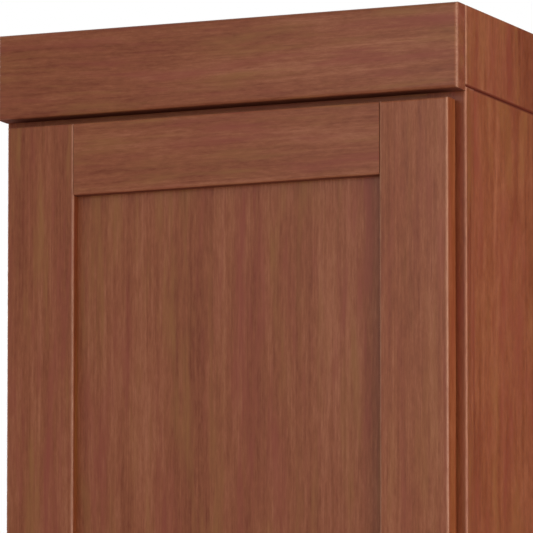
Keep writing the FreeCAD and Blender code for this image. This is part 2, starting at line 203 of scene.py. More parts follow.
# Plated metal: features per metre of its tooth and its clouding, and what they change.
METAL_TOOTH = 2600
METAL_CLOUD = 160
METAL_CLOUD_SPAN = (0.3, 0.7)
METAL_DULL_SHARE = 0.9
METAL_TOOTH_WEIGHT = 0.18
METAL_CLOUD_WEIGHT = 0.06
METAL_RELIEF_STRENGTH = 0.12
METAL_RELIEF_DEPTH = 0.02*MM

# Soft plastic: features per metre of its clouding, and what it changes.
PLASTIC_CLOUD = 700
PLASTIC_DULL_SHARE = 0.85
PLASTIC_ROUGHNESS = 0.4
PLASTIC_CLOUD_WEIGHT = 0.2
PLASTIC_TRANSMISSION = 0.35
PLASTIC_IOR = 1.45

# A screw's pan head and its recess, as shares of the head's radius and height.
HEAD_SIDES = 40
HEAD_FALL = 0.45
RECESS_ZONE = 0.66
RECESS_RINGS = 19
RIM_ZONE = 0.72
RIM_RINGS = 6
RECESS_HALF_WIDTH = 0.15
RECESS_REACH = 0.58
RECESS_SOFTNESS = 0.07
RECESS_DEPTH = 0.6

# The knob's profile as arcs in millimetres: middle (r, z), reach (r, z), first and last degree, and points.
KNOB_ARCS = {
    "foot ring": (8.1, 0.9, 0.9, 0.9, -90, 90, 9),
    "waisted neck": (9.8, 9.0, 4.2, 6.9, 246, 116, 22),
    "hollow under the head": (8.0, 20.0, 8.0, 4.6, -88, 0, 16),
    "domed head": (0.0, 20.0, 16.0, 6.0, 3, 90, 26),
}
KNOB_SIDES = 96

# A bumper's upright wall as a share of its height, and the points and sides of its dome.
BUMPER_WALL = 0.25
BUMPER_POINTS = 12
BUMPER_SIDES = 36

# A shelf pin: where its collar starts, is full and ends past the case side, and its rounded end.
COLLAR_GAP = 0.02*MM
COLLAR_FLAT = 0.9*MM
COLLAR_HEIGHT = 1.2*MM
COLLAR_EASING = 0.9
PIN_ROUNDING = 0.4
PIN_POINTS = 7
PIN_SIDES = 28

# Finish of every mesh that is made here.
WELD_DISTANCE = 1e-7
SHARP_ANGLE = math.radians(40)

# Where a turning's own X, Y and Z axes point when it faces that way.
FACING = {
    "front": ((1, 0, 0), (0, 0, 1), (0, -1, 0)),
    "back": ((-1, 0, 0), (0, 0, 1), (0, 1, 0)),
    "right": ((0, 1, 0), (0, 0, 1), (1, 0, 0)),
    "left": ((0, -1, 0), (0, 0, 1), (-1, 0, 0)),
}

# The camera's frame and reach.
PHOTO_PIXELS = 533
SENSOR_MM = 36.0
CLIP_END = 1000

# The lamps' places and sides in metres, and the point that they look at.
LAMPS = {
    "key": ((3.27, -2.05, 1.75), 1.5),
    "fill": ((-0.2, -2.1, 2.3), 0.7),
    "side": ((3.55, 0.42, 1.8), 1.6),
    "rim": ((-3.3, 1.6, 2.4), 1.6),
}
LAMP_AIM = Vector((0, 0, 1.6))

# The floor near the cabinet and far from it, and the distances between which one goes over into the other.
FLOOR_FADE = (1.2, 6.0)
NEAR_PAINT = 0.75
NEAR_GLOW = 0.35
FAR_PAINT = 0.8

# The two lower corners of the dark card, its height and its cloth.
CARD_FOOT = ((0.7, 3.4), (4.4, 0.9))
CARD_HEIGHT = 5
CARD_CLOTH = 0.02


def colour(name, description, red, green, blue):
    """A colour property written as 8-bit screen values and kept as linear light."""
    screen = np.array((red, green, blue))/255
    linear = np.where(screen <= 0.04045, screen/12.92, ((screen + 0.055)/1.055)**2.4)
    return FloatVectorProperty(name=name, description=description, subtype="COLOR", min=0, max=1,
                               default=tuple(float(part) for part in linear))


def length(name, description, millimetres):
    """A length property written in millimetres and kept in metres."""
    return FloatProperty(name=name, description=description, default=millimetres*MM, unit="LENGTH")


def dullness(name, description, value):
    """A roughness property."""
    return FloatProperty(name=name, description=description, subtype="FACTOR", min=0.05, max=1,
                         default=value)


def power(name, description, watts):
    """A lamp's power property."""
    return FloatProperty(name=name, description=description, default=watts, unit="POWER")


class CabinetFinish(bpy.types.PropertyGroup):
    """Colours and gloss of the cabinet's surfaces."""
    stain: colour("Stain", "Middle tone of the stained boards", 133, 72, 43)
    stain_dark: colour("Stain dark", "Dark fibres of the stained boards", 107, 47, 20)
    stain_light: colour("Stain light", "Light fibres of the stained boards", 157, 96, 67)
    stain_red: colour("Stain red", "Bands where the stain leans to red", 132, 62, 45)
    stain_gold: colour("Stain gold", "Bands where the stain leans to gold", 138, 88, 46)
    # Partly stain gone thin, partly a painted highlight along the arrises.
    stain_worn_and_highlight: colour("Stain worn", "Where the stain has gone thin along an arris", 190, 138, 110)
    stain_joint: colour("Stain in joints", "Where the stain gathers in a joint", 96, 32, 4)
    veneer: colour("Veneer", "Clear-coated veneer inside the case", 205, 172, 128)
    veneer_dark: colour("Veneer dark", "Dark fibres of the veneer", 178, 140, 96)
    plain: colour("Plain wood", "Unfinished rails behind the back", 196, 164, 122)
    plain_dark: colour("Plain wood dark", "Dark fibres of the unfinished rails", 166, 130, 90)
    nickel: colour("Nickel", "Satin nickel plate on knobs, hinges and shelf pins", 172, 167, 158)
    zinc: colour("Zinc", "Zinc plate on the screws", 196, 198, 200)
    bumper: colour("Bumper", "Soft clear plastic of the door bumpers", 226, 224, 216)
    lacquer_rough: dullness("Lacquer roughness", "Roughness of the satin lacquer on the stain", 0.38)
    veneer_rough: dullness("Veneer roughness", "Roughness of the clear coat inside the case", 0.4)
    plain_rough: dullness("Plain roughness", "Roughness of the unfinished rails", 0.65)
    hinge_rough: dullness("Hinge roughness", "Roughness of the plate on the hinges", 0.34)
    knob_rough: dullness("Knob roughness", "Roughness of the plate on the knobs", 0.28)
    pin_rough: dullness("Pin roughness", "Roughness of the plate on the shelf pins", 0.3)
    screw_rough: dullness("Screw roughness", "Roughness of the plate on the screws", 0.3)


class CabinetHardware(bpy.types.PropertyGroup):
    """Sizes of the small pieces that are made here."""
    leaf_height: length("Leaf height", "Height of one hinge leaf", 54)
    leaf_thickness: length("Leaf thickness", "Thickness of a door leaf", 0.9)
    leaf_edge: length("Leaf edge", "From a door leaf's free edge to its screws", 9)
    screw_pitch: length("Screw pitch", "Distance between a leaf's two screws", 30)
    screw_radius: length("Screw head radius", "Radius of a hinge screw's pan head", 3.5)
    screw_height: length("Screw head height", "Height of a hinge screw's pan head", 1.8)
    knob_screw_radius: length("Knob screw radius", "Radius of the knob screw's head", 4.6)
    knob_screw_height: length("Knob screw height", "Height of the knob screw's head", 2.2)
    bumper_radius: length("Bumper radius", "Radius of a door bumper", 4)
    bumper_height: length("Bumper height", "Thickness of a door bumper", 1.7)
    bumper_inset: length("Bumper inset", "From the door's edges to a bumper's middle", 10)
    pin_radius: length("Pin radius", "Radius of a shelf pin", 2.45)
    pin_collar: length("Pin collar", "Radius of a shelf pin's collar", 3.6)
    pin_reach: length("Pin reach", "How far a shelf pin stands out from the case side", 8)


class CabinetStage(bpy.types.PropertyGroup):
    """Camera and light."""
    eye: FloatVectorProperty(name="Eye", description="Where the camera stands", subtype="TRANSLATION",
                             unit="LENGTH", default=(3.6026, -8.5089, 0.5216))
    yaw: FloatProperty(name="Yaw", description="How far the camera looks to the left of straight ahead",
                       default=math.radians(23.364), unit="ROTATION")
    pitch: FloatProperty(name="Pitch", description="How far the camera looks up",
                         default=math.radians(8.738), unit="ROTATION")
    focal_pixels: FloatProperty(name="Focal length", description="Focal length in pixels of the photograph",
                                default=10000.0)
    ambient: FloatProperty(name="Ambient", description="Strength of the even light from all sides",
                           default=0.475)
    lean: FloatProperty(name="Lean", description="How much stronger that light is from the right",
                        default=0.16)
    key: power("Key", "Power of the large lamp at the right", 46)
    fill: power("Fill", "Power of the lamp in front", 5)
    side: power("Side", "Power of the lamp beside the right side", 29)
    rim: power("Rim", "Power of the lamp behind at the left", 75)
    floor_span: FloatProperty(name="Floor span", description="Side of the square floor", default=700,
                              unit="LENGTH")


def make(tree, kind, inputs=None, **settings):
    """Adds one node, sets its options, and fills each input, by name or number, with a value or a link."""
    item = tree.nodes.new(kind)
    for name, value in settings.items():
        setattr(item, name, value)
    for name, value in (inputs or {}).items():
        if isinstance(value, bpy.types.NodeSocket):
            tree.links.new(value, item.inputs[name])
        else:
            item.inputs[name].default_value = value
    return item


def blank_material(name):
    """A material with an empty node tree and its output node."""
    material = bpy.data.materials.new(name)
    material.use_nodes = True
    tree = material.node_tree
    tree.nodes.clear()
    output = tree.nodes.new("ShaderNodeOutputMaterial")
    return material, tree, output


def arithmetic(tree, operation, *values):
    item = make(tree, "ShaderNodeMath", dict(enumerate(values)), operation=operation)
    return item.outputs["Value"]


def vector_arithmetic(tree, operation, *values):
    item = make(tree, "ShaderNodeVectorMath", dict(enumerate(values)), operation=operation)
    return item.outputs["Vector"]


def remap(tree, value, span, result=(0.0, 1.0)):
    """Carries the span's first and last value over to the result's, straight between and level outside."""
    item = make(tree, "ShaderNodeMapRange", {"Value": value, "From Min": span[0], "From Max": span[1],
                                             "To Min": result[0], "To Max": result[1]})
    return item.outputs["Result"]


def opaque(tint):
    return (*tint, 1.0)


def grey(level):
    return (level, level, level, 1.0)


def blend_colour(tree, factor, first, second, mode="MIX"):
    """Blends two colours. A Mix node's inputs 0, 6 and 7 are the factor and colours, output 2 the blend."""
    item = make(tree, "ShaderNodeMix", {0: factor, 6: first, 7: second}, data_type="RGBA", blend_type=mode)
    return item.outputs[2]


def apply_cast(tree, tint, cast):
    return blend_colour(tree, 1.0, tint, opaque(cast), "MULTIPLY")


def object_place(tree):
    return make(tree, "ShaderNodeTexCoord").outputs["Object"]


def split(tree, vector):
    """The X, Y and Z parts of a vector."""
    return make(tree, "ShaderNodeSeparateXYZ", {"Vector": vector}).outputs


def mapped(tree, point, scale, shift=(0, 0, 0)):
    mapping = make(tree, "ShaderNodeMapping", {"Vector": point, "Scale": scale, "Location": shift})
    return mapping.outputs["Vector"]


def noise(tree, point, scale, detail=2.0, roughness=0.5, output="Fac"):
    """Noise about 0.5 whose features are as many per metre as the scale says on each axis."""
    texture = make(tree, "ShaderNodeTexNoise", {"Vector": mapped(tree, point, scale), "Scale": 1.0,
                                                "Detail": detail, "Roughness": roughness})
    return texture.outputs[output]


def even_noise(tree, point, count):
    """Noise with as many features per metre on all three axes."""
    return noise(tree, point, (count, count, count))


def weigh(tree, middle, terms):
    """The middle plus each field's departure from 0.5 times its weight."""
    total = middle - 0.5*sum(weight for field, weight in terms)
    for field, weight in terms:
        total = arithmetic(tree, "MULTIPLY_ADD", field, weight, total)
    return total


def along_grain(axis, across, along):
    """Three numbers for a pattern that is drawn out along one axis."""
    numbers = [across]*3
    numbers[axis] = along
    return numbers


def growth_lines(tree, contour):
    """Lines that follow a field's contours: half of one plus the sine of the field times its turns."""
    wave = arithmetic(tree, "SINE", arithmetic(tree, "MULTIPLY", contour, RING_TURNS))
    return arithmetic(tree, "MULTIPLY_ADD", wave, 0.5, 0.5)


class Grain:
    """One board's figure: fields on its object coordinates, drawn out along the grain and swaying."""

    def __init__(self, tree, axis, seed, spread=1.0, run=1.0, waves=SWAY_WAVES, swing=SWAY_SWING):
        self.tree = tree
        self.axis = axis
        self.fields = {}
        self.place = object_place(tree)
        moved = mapped(tree, self.place, along_grain(axis, spread, run), self.offset(seed))
        sway = noise(tree, moved, along_grain(axis, SWAY_ACROSS, waves), SWAY_DETAIL, output="Color")
        centred = vector_arithmetic(tree, "SUBTRACT", sway, (0.5, 0.5, 0.5))
        self.point = vector_arithmetic(tree, "MULTIPLY_ADD", centred, along_grain(axis, swing, 0.0), moved)

    @staticmethod
    def offset(seed):
        """A place of its own in the pattern for every board: three steps that share no divisor."""
        return [step*seed % span for step, span in zip(FIGURE_STEPS, FIGURE_SPANS)]

    def field(self, name):
        """One field of the figure, with 0.5 as its middle. It is made when it is first asked for."""
        if name not in self.fields:
            across, along, detail, roughness = FIGURE_FIELDS[name]
            value = noise(self.tree, self.point, along_grain(self.axis, across, along), detail, roughness)
            if name == "rings":
                value = growth_lines(self.tree, value)
            self.fields[name] = value
        return self.fields[name]

    def weigh(self, weights, middle=0.5):
        """The middle plus each named field's departure from 0.5 times its weight."""
        return weigh(self.tree, middle, [(self.field(name), weight) for name, weight in weights.items()])


def three_tones(tree, value, dark, middle, light):
    """A ramp from dark over middle to light."""
    ramp = make(tree, "ShaderNodeValToRGB", {"Fac": value})
    ramp.color_ramp.elements[0].color = opaque(dark)
    ramp.color_ramp.elements[1].color = opaque(light)
    ramp.color_ramp.elements.new(0.5).color = opaque(middle)
    return ramp.outputs["Color"]


def darken_pores(tree, grain, tone, dark, span, most):
    """Darkens the open pores, which are the low places of their field."""
    pores = remap(tree, grain.field("pore"), span, (0.0, most))
    return blend_colour(tree, pores, tone, opaque(dark))


def stained_colour(tree, grain, finish, lean):
    """Brown stain: bands, streaks and faint growth lines, with stretches that lean to red or to gold."""
    value = grain.weigh(STAIN_WEIGHTS)
    tone = three_tones(tree, value, finish.stain_dark, finish.stain, finish.stain_light)
    redder = remap(tree, grain.field("hue"), RED_SPAN, (0.0, RED_MOST*lean))
    golder = remap(tree, grain.field("hue"), GOLD_SPAN, (0.0, GOLD_MOST*lean))
    tone = blend_colour(tree, redder, tone, opaque(finish.stain_red))
    tone = blend_colour(tree, golder, tone, opaque(finish.stain_gold))
    return darken_pores(tree, grain, tone, finish.stain_dark, STAIN_PORE_SPAN, STAIN_PORE_MOST)


def pale_colour(tree, grain, dark, light):
    """Pale wood with quiet streaks and growth lines."""
    tone = blend_colour(tree, grain.weigh(PALE_WEIGHTS), opaque(dark), opaque(light))
    return darken_pores(tree, grain, tone, dark, PALE_PORE_SPAN, PALE_PORE_MOST)


def coat(tree, output, tint, grain, roughness, specular):
    """A coat over wood whose fibres and open pores can still be felt."""
    bump = make(tree, "ShaderNodeBump", {"Height": grain.weigh(RELIEF_WEIGHTS), "Strength": RELIEF_STRENGTH,
                                         "Distance": RELIEF_DEPTH})
    shader = make(tree, "ShaderNodeBsdfPrincipled",
                  {"Base Color": tint, "Roughness": roughness, "Specular IOR Level": specular,
                   "Normal": bump.outputs["Normal"]})
    tree.links.new(shader.outputs["BSDF"], output.inputs["Surface"])


def from_middle(tree, across, low, high):
    """How far to the right of a board's middle a point lies."""
    return arithmetic(tree, "SUBTRACT", across, (low.x + high.x)/2)


def front_arris_distance(tree, place, name):
    """How far a point of a board's surface is from the nearer free upright arris of its front.

    It is the greater of the distances to the front and to the nearer free end.
    """
    low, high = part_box(name)
    parts = split(tree, place)
    off_centre = from_middle(tree, parts["X"], low, high)
    if name in FREE_EDGE:
        off_centre = arithmetic(tree, "MULTIPLY", off_centre, FREE_EDGE[name])
    else:
        off_centre = arithmetic(tree, "ABSOLUTE", off_centre)
    from_end = arithmetic(tree, "SUBTRACT", (high.x - low.x)/2, off_centre)
    from_front = arithmetic(tree, "SUBTRACT", parts["Y"], low.y)
    if name in BACKWARD_WEAR_AND_HIGHLIGHT:
        from_front = arithmetic(tree, "MULTIPLY", from_front, BACKWARD_WEAR_AND_HIGHLIGHT[name])
    return arithmetic(tree, "MAXIMUM", from_end, from_front)


def wear_and_highlight_edges(tree, grain, name, tint, finish):
    """Lightens the front arrises, partly as stain gone thin and partly as a painted highlight, more in some
    places than in others.
    """
    near = remap(tree, front_arris_distance(tree, grain.place, name), WEAR_AND_HIGHLIGHT_FADE)
    worn_and_highlight = arithmetic(tree, "MULTIPLY", near, remap(tree, grain.field("dash"), WEAR_AND_HIGHLIGHT_SPAN, WEAR_AND_HIGHLIGHT_SHARE))
    return blend_colour(tree, worn_and_highlight, tint, opaque(finish.stain_worn_and_highlight))


def cast_edges(tree, grain, name, tint):
    """Changes the tint of a board's left and right edges, which take up the stain differently."""
    low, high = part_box(name)
    off_centre = from_middle(tree, split(tree, grain.place)["X"], low, high)
    half = (high.x - low.x)/2
    span = [half - depth for depth in EDGE_DEPTH]
    on_edge = remap(tree, arithmetic(tree, "ABSOLUTE", off_centre), span)
    return blend_colour(tree, on_edge, tint, apply_cast(tree, tint, EDGE_CASTS[name]))


def looks_down(tree):
    """One on the faces that look down, and zero on the upright ones."""
    facing = make(tree, "ShaderNodeTexCoord").outputs["Normal"]
    return remap(tree, split(tree, facing)["Z"], DOWNWARD_SPAN)


def near_joint(tree, grain, axis, place):
    """One at a joint that lies at one place on an axis, and zero away from it."""
    away = arithmetic(tree, "SUBTRACT", split(tree, grain.place)[axis], place)
    return remap(tree, arithmetic(tree, "ABSOLUTE", away), JOINT_FADE)


def inside_face(tree, grain, name):
    """One on the face of a side panel that looks into the case, and zero elsewhere."""
    low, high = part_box(name)
    across = split(tree, grain.place)["X"]
    if VENEERED_INSIDE[name] > 0:
        return arithmetic(tree, "GREATER_THAN", across, high.x - VENEER_THICKNESS)
    return arithmetic(tree, "LESS_THAN", across, low.x + VENEER_THICKNESS)


def stained_figure(tree, name, axis, seed):
    """The figure of one stained board."""
    seed = CHOSEN_FIGURE.get(name, seed)
    if name in ABOUT_THE_SEAM:
        return Grain(tree, axis, seed, spread=VENEER_SPREAD, run=VENEER_RUN)
    if name in LEVEL_STAINED:
        return Grain(tree, axis, seed, waves=LEVEL_WAVES, swing=LEVEL_SWING)
    return Grain(tree, axis, seed, run=UPRIGHT_RUN)


def stained_board(name, axis, seed, finish):
    """Stain under satin lacquer on one board. It has worn arrises that also carry a painted highlight, dark
    joints, painted shade on the faces that look down, and odd faces. Some boards are lightened as painted
    light, and some are darkened as painted shade.
    """
    material, tree, output = blank_material(f"stain_{name}")
    grain = stained_figure(tree, name, axis, seed)
    tint = stained_colour(tree, grain, finish, LEANS.get(name, 1.0))
    if name in EDGE_CASTS:
        tint = cast_edges(tree, grain, name, tint)
    # Worn arrises, lightened further as a painted highlight.
    if name not in WITHOUT_WEAR_AND_HIGHLIGHT:
        tint = wear_and_highlight_edges(tree, grain, name, tint, finish)
    # Painted shade on the faces that look down, which are also made duller.
    dull = looks_down(tree)
    tint = blend_colour(tree, dull, tint, apply_cast(tree, tint, UNDERSIDE_PAINTED_SHADE))
    if name in ABOUT_THE_SEAM:
        joint = near_joint(tree, grain, "Z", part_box("riser_right_return")[0].z)
        tint = blend_colour(tree, joint, tint, opaque(finish.stain_joint))
        dull = arithmetic(tree, "MAXIMUM", dull, joint)
    if name == "header_board":
        joint = near_joint(tree, grain, "Y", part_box(name)[1].y)
        joint = arithmetic(tree, "MULTIPLY", joint, HEADER_JOINT_SHARE)
        tint = blend_colour(tree, joint, tint, opaque(finish.stain_joint))
    if name in VENEERED_INSIDE:
        pale = pale_colour(tree, grain, finish.veneer_dark, finish.veneer)
        tint = blend_colour(tree, inside_face(tree, grain, name), tint, pale)
    # Stain tone for some boards. The frame stiles, knob stiles and top rail get painted shade, painted
    # sheen and painted light.
    if name in TONE_AND_LIGHT_CASTS:
        tint = apply_cast(tree, tint, TONE_AND_LIGHT_CASTS[name])
    satin = grain.weigh(COAT_WEIGHTS, finish.lacquer_rough)
    roughness = arithmetic(tree, "MULTIPLY_ADD", dull, DULL_ROUGHNESS, satin)
    coat(tree, output, tint, grain, roughness, STAIN_SPECULAR)
    return material


def pale_board(name, axis, seed, dark, light, rough):
    """Pale wood under a clear coat, or bare."""
    material, tree, output = blank_material(f"pale_{name}")
    grain = Grain(tree, axis, seed)
    tint = pale_colour(tree, grain, dark, light)
    coat(tree, output, tint, grain, grain.weigh(COAT_WEIGHTS, rough), PALE_SPECULAR)
    return material


def satin_metal(name, tint, rough):
    """Plated metal with a fine even tooth and slight clouding."""
    material, tree, output = blank_material(name)
    place = object_place(tree)
    tooth = even_noise(tree, place, METAL_TOOTH)
    cloud = even_noise(tree, place, METAL_CLOUD)
    dull = [part*METAL_DULL_SHARE for part in tint]
    shade = blend_colour(tree, remap(tree, cloud, METAL_CLOUD_SPAN), opaque(dull), opaque(tint))
    roughness = weigh(tree, rough, [(tooth, METAL_TOOTH_WEIGHT), (cloud, METAL_CLOUD_WEIGHT)])
    bump = make(tree, "ShaderNodeBump", {"Height": tooth, "Strength": METAL_RELIEF_STRENGTH,
                                         "Distance": METAL_RELIEF_DEPTH})
    shader = make(tree, "ShaderNodeBsdfPrincipled",
                  {"Base Color": shade, "Metallic": 1.0, "Roughness": roughness,
                   "Normal": bump.outputs["Normal"]})
    tree.links.new(shader.outputs["BSDF"], output.inputs["Surface"])
    return material


def screw_plate(finish):
    """Zinc plate, made once and shared by all the screws."""
    made = bpy.data.materials.get("screw_plate")
    return made or satin_metal("screw_plate", finish.zinc, finish.screw_rough)


def soft_plastic(name, tint):
    """Clear soft plastic, a little cloudy."""
    material, tree, output = blank_material(name)
    cloud = even_noise(tree, object_place(tree), PLASTIC_CLOUD)
    dull = [part*PLASTIC_DULL_SHARE for part in tint]
    shade = blend_colour(tree, cloud, opaque(dull), opaque(tint))
    roughness = weigh(tree, PLASTIC_ROUGHNESS, [(cloud, PLASTIC_CLOUD_WEIGHT)])
    shader = make(tree, "ShaderNodeBsdfPrincipled",
                  {"Base Color": shade, "Roughness": roughness,
                   "Transmission Weight": PLASTIC_TRANSMISSION, "IOR": PLASTIC_IOR})
    tree.links.new(shader.outputs["BSDF"], output.inputs["Surface"])
    return material


def dress(node, material):
    """Gives a CAD node its finish."""
    mesh = NODES[node].data
    mesh.materials.clear()
    mesh.materials.append(material)


def arc(middle_r, middle_z, reach_r, reach_z, start, end, count):
    """Points (r, z) of an elliptical arc from start to end degrees about its middle."""
    turn = np.radians(np.linspace(start, end, count))
    return np.stack((middle_r + reach_r*np.cos(turn), middle_z + reach_z*np.sin(turn)), -1)


def turned(profile, sides):
    """A turning: the profile's point (r, z) goes to (r cos a, r sin a, z) at every angle a."""
    radius, height = np.asarray(profile, float).T
    angle = np.linspace(0, 2*np.pi, sides, endpoint=False)
    flat = np.stack((radius[:, None]*np.cos(angle), radius[:, None]*np.sin(angle)), -1)
    return np.concatenate((flat, np.broadcast_to(height[:, None, None], (len(radius), sides, 1))), -1)


def pan_head(radius, height):
    """A pan head on a polar grid: z falls from its height with the fourth power of r.

    A cross is sunk in it where one coordinate is within an arm's half width and the other within its reach.
    """
    share = np.concatenate((np.linspace(0, RECESS_ZONE, RECESS_RINGS), np.linspace(RIM_ZONE, 1, RIM_RINGS)))
    dome = np.stack((share*radius, height*(1 - HEAD_FALL*share**4)), -1)
    underside = [(0, 0), (radius, 0)]
    grid = turned(np.concatenate((underside, dome[::-1])), HEAD_SIDES)
    across, up = np.abs(grid[..., 0]), np.abs(grid[..., 1])

    def within(distance, limit):
        return np.clip((limit*radius - distance)/(RECESS_SOFTNESS*radius) + 0.5, 0, 1)

    level_arm = within(up, RECESS_HALF_WIDTH)*within(across, RECESS_REACH)
    upright_arm = within(across, RECESS_HALF_WIDTH)*within(up, RECESS_REACH)
    recess = np.maximum(level_arm, upright_arm)
    recess[:len(underside)] = 0
    grid[..., 2] -= RECESS_DEPTH*height*recess
    return grid


def knob_profile():
    """A foot ring, a waisted neck, a hollow under the head and a domed head, one arc each."""
    return np.concatenate(([(0, 0)], *(arc(*numbers) for numbers in KNOB_ARCS.values())))*MM


def bumper_profile(radius, height):
    """A flat foot, a short upright wall, and a dome that is a quarter of an ellipse."""
    wall = BUMPER_WALL*height
    dome = arc(0, wall, radius, height - wall, 0, 90, BUMPER_POINTS)
    return np.concatenate(([(0, 0), (radius, 0)], dome))


def pin_profile(hardware, shank):
    """A shank in its hole, a collar with an eased rim at the case side, and an end rounded by an arc."""
    thin, wide = hardware.pin_radius, hardware.pin_collar
    start, full, top = shank + COLLAR_GAP, shank + COLLAR_FLAT, shank + COLLAR_HEIGHT
    collar = [(thin, start), (wide, start), (wide, full), (COLLAR_EASING*wide, top), (thin, top)]
    end, rounding = shank + hardware.pin_reach, PIN_ROUNDING*thin
    tip = arc(thin - rounding, end - rounding, rounding, rounding, 0, 90, PIN_POINTS)
    return [(0, 0), (thin, 0), *collar, *tip, (0, end)]


def copies(grid, facing, places):
    """The grid turned to face one way and set down at every place."""
    turned_grid = grid@np.array(FACING[facing], float)
    return [turned_grid + np.array(place) for place in places]


def closed_grid_faces(rings, sides):
    """Quads between neighbouring rings of a grid that closes on itself round each ring."""
    here = np.arange(rings*sides).reshape(rings, sides)
    after = np.roll(here, -1, axis=1)
    return np.stack((here[:-1], after[:-1], after[1:], here[1:]), -1).reshape(-1, 4)


def add_piece(name, grids, material, body, stands_for=()):
    """One mesh of closed grids whose first and last rings may shrink to a point."""
    points, faces, count = [], [], 0
    for grid in grids:
        rings, sides = grid.shape[:2]
        faces.append(closed_grid_faces(rings, sides) + count)
        points.append(grid.reshape(-1, 3))
        count += rings*sides
    mesh = bpy.data.meshes.new(name)
    mesh.from_pydata(np.concatenate(points).tolist(), [], np.concatenate(faces).tolist())
    work = bmesh.new()
    work.from_mesh(mesh)
    bmesh.ops.remove_doubles(work, verts=work.verts, dist=WELD_DISTANCE)
    bmesh.ops.recalc_face_normals(work, faces=work.faces)
    work.to_mesh(mesh)
    work.free()
    mesh.polygons.foreach_set("use_smooth", np.ones(len(mesh.polygons), bool))
    mesh.set_sharp_from_angle(angle=SHARP_ANGLE)
    mesh.materials.append(material)
    piece = bpy.data.objects.new(name, mesh)
    bpy.context.scene.collection.objects.link(piece)
    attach(piece, body)
    if stands_for:
        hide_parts(*stands_for)
    return piece


def hinge_screw_heights(door, hardware):
    """Heights of the screws of one door's hinges, which are spread evenly over the box of their leaves."""
    low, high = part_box(f"{door}_hinge_frame_leaves")
    feet = np.linspace(low.z, high.z - hardware.leaf_height, HINGE_COUNT[door])
    steps = np.array((-0.5, 0.5))*hardware.screw_pitch
    return (feet[:, None] + hardware.leaf_height/2 + steps).ravel()


